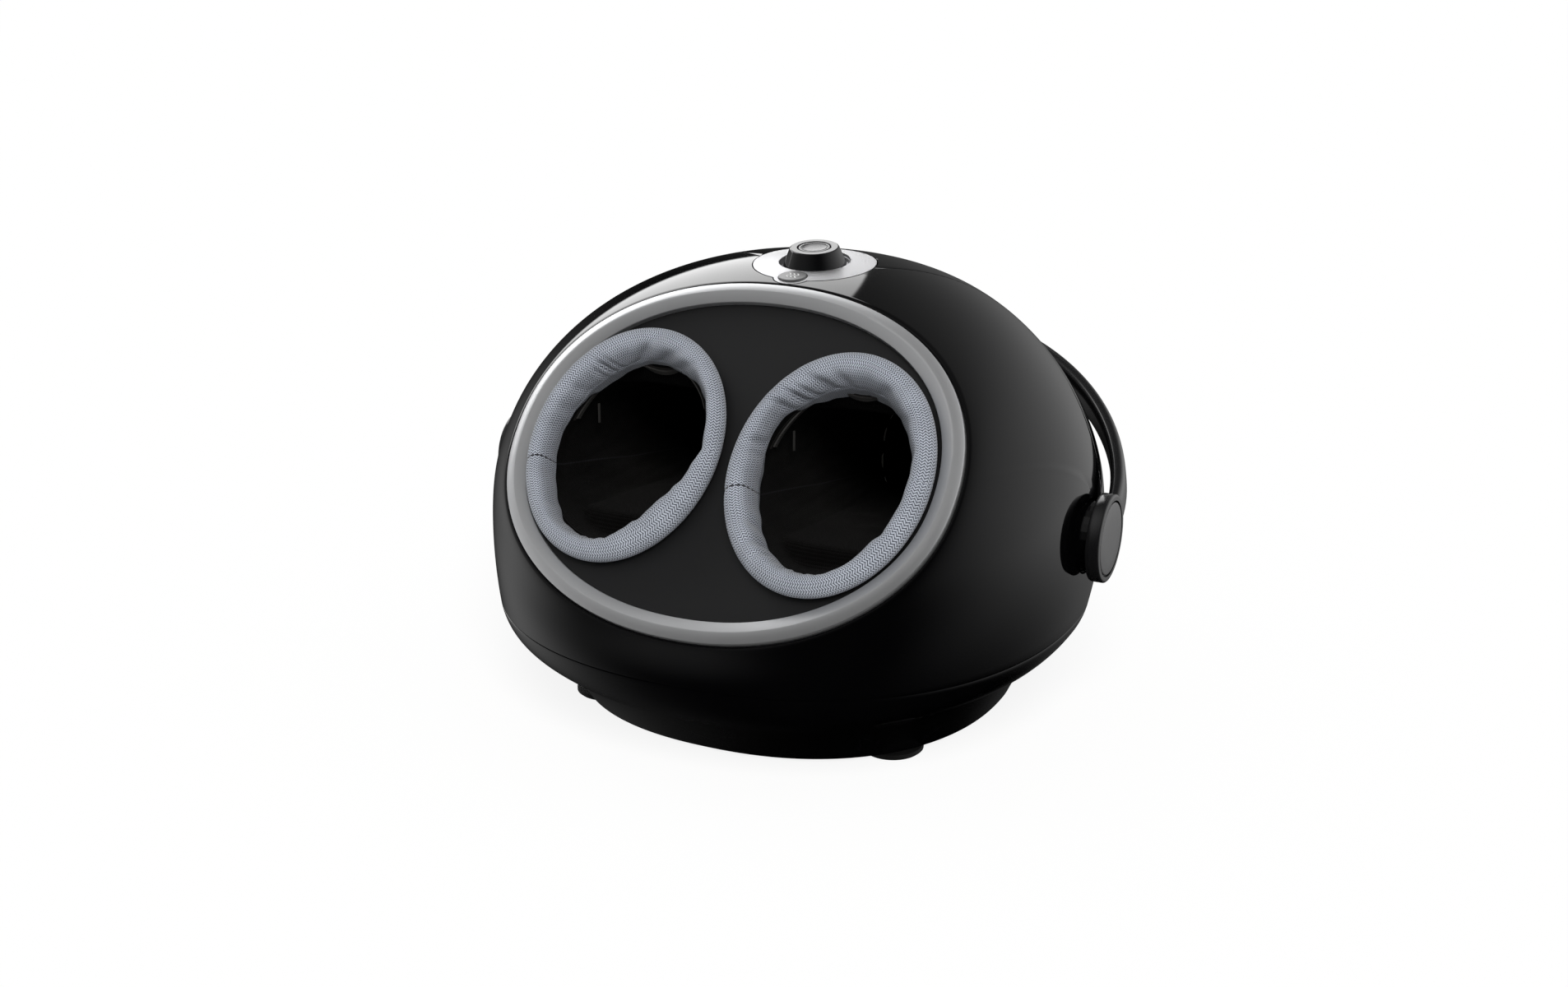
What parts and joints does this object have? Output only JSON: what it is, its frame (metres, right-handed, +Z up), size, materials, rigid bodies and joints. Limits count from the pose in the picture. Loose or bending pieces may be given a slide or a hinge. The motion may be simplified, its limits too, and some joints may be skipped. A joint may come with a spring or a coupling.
{
  "type": "shiatsu foot massager",
  "caption": "Domed foot massager on a low base, with a tilted oval panel, padded collars round the foot openings, a dial on the crown and a bail handle.",
  "frame": {"origin": "on the floor, under the middle of the whole machine with its handle as pictured", "axes": "+X to the user's right, +Y from the foot openings to the back, +Z up"},
  "size_m": [0.429, 0.3716, 0.2896],
  "materials": {
    "gloss_black": "polished",
    "satin_black": "satin",
    "silver_trim": "satin",
    "satin_metal": "spun satin",
    "dark_chrome": "polished",
    "grey_cover": "satin",
    "collar_mesh": "knitted mesh",
    "black_lining": "matt",
    "rubber": "matt",
    "inner_plastic": "moulded",
    "acetal": "moulded",
    "steel": "plain",
    "brass": "plain",
    "board": "coated",
    "heater_film": "film"
  },
  "bodies": {
    "housing": {"front_housing": "gloss_black", "rear_cover": "gloss_black", "lower_shell": "gloss_black", "base_plate": "satin_black", "trim_ring": "silver_trim", "front_panel": "satin_black", "control_plate": "satin_metal", "control_board": "board", "rotary_encoder": "steel", "heat_switch": "satin_black", "drive_tray": "inner_plastic", "gear_motor": "steel", "power_socket": "satin_black", "left_collar": "collar_mesh", "left_liner": "black_lining", "left_foot_well": "inner_plastic", "left_heating_pad": "heater_film", "left_shaft_bush": "brass", "left_hinge_pin": "steel", "left_hinge_boss": "satin_black", "left_front_foot": "rubber", "left_rear_foot": "rubber", "right_collar": "collar_mesh", "right_liner": "black_lining", "right_foot_well": "inner_plastic", "right_heating_pad": "heater_film", "right_shaft_bush": "brass", "right_hinge_pin": "steel", "right_hinge_boss": "satin_black", "right_front_foot": "rubber", "right_rear_foot": "rubber"},
    "handle": {"carry_handle": "satin_black", "left_hinge_cap": "grey_cover", "right_hinge_cap": "grey_cover"},
    "dial": {"control_knob": "dark_chrome"},
    "dial_button": {"knob_button": "dark_chrome"},
    "heat_button": {"heat_button": "grey_cover"},
    "pinion": {"drive_pinion": "steel"},
    "left_kneader": {"left_kneading_gear": "acetal", "left_kneading_disc": "acetal", "left_kneader_shaft": "steel", "left_massage_head_1": "rubber", "left_massage_head_2": "rubber", "left_massage_head_3": "rubber"},
    "right_kneader": {"right_kneading_gear": "acetal", "right_kneading_disc": "acetal", "right_kneader_shaft": "steel", "right_massage_head_1": "rubber", "right_massage_head_2": "rubber", "right_massage_head_3": "rubber"}
  },
  "joints": [
    {"name": "handle_swing", "type": "hinge", "parent": "housing", "child": "handle", "pos_m": [0, 0.003, 0.13], "axis": [1, 0, 0], "range_deg": [-45, 75]},
    {"name": "dial_turn", "type": "hinge", "parent": "housing", "child": "dial", "pos_m": [0, 0.031, 0.27908], "axis": [0, -0.1036, 0.9946], "continuous": true},
    {"name": "dial_press", "type": "slide", "parent": "dial", "child": "dial_button", "axis": [0, 0.1036, -0.9946], "range_m": [0, 0.001], "stiffness_N_per_m": 400},
    {"name": "heat_press", "type": "slide", "parent": "housing", "child": "heat_button", "axis": [0, 0.1036, -0.9946], "range_m": [0, 0.0008], "stiffness_N_per_m": 400},
    {"name": "right_kneader_turn", "type": "hinge", "parent": "housing", "child": "right_kneader", "pos_m": [0.069, -0.014, 0.11006], "axis": [0, 0.1736, 0.9848], "continuous": true},
    {"name": "left_kneader_turn", "type": "hinge", "parent": "housing", "child": "left_kneader", "pos_m": [-0.069, -0.014, 0.11006], "axis": [0, 0.1736, 0.9848], "continuous": true},
    {"name": "pinion_turn", "type": "hinge", "parent": "housing", "child": "pinion", "pos_m": [0, -0.014, 0.11006], "axis": [0, 0.1736, 0.9848], "continuous": true}
  ],
  "couplings": [
    {"joint": "left_kneader_turn", "follows": "right_kneader_turn", "ratio": 1},
    {"joint": "pinion_turn", "follows": "right_kneader_turn", "ratio": -3.3333}
  ]
}
